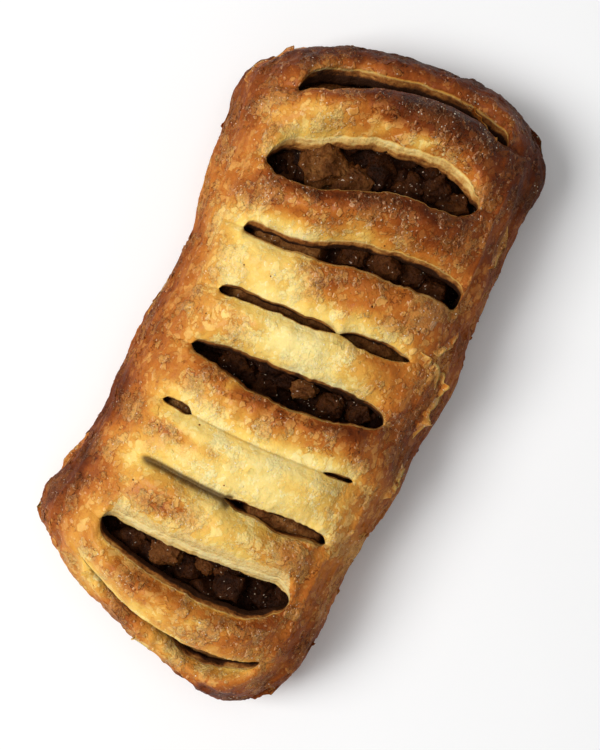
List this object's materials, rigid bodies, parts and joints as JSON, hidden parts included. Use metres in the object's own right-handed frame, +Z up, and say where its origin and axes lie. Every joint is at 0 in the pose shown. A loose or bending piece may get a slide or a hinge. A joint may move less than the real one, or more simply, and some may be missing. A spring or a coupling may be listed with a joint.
{
  "type": "apple strudel",
  "caption": "Baked oblong puff-pastry strudel with a domed, browned crust slashed crosswise along its top, showing chunky apple filling in the slits.",
  "frame": {"origin": "centre of the bounding box's underside, on the surface the strudel rests on", "axes": "+X along the strudel's length towards the end whose last slit gapes least, +Y towards its longer-cornered side, +Z up"},
  "size_m": [0.145, 0.0728, 0.0364],
  "materials": {
    "baked_pastry": "satin",
    "apple_filling": "gloss"
  },
  "bodies": {
    "root": {"pastry": "baked_pastry", "apple_filling": "apple_filling"}
  },
  "joints": []
}
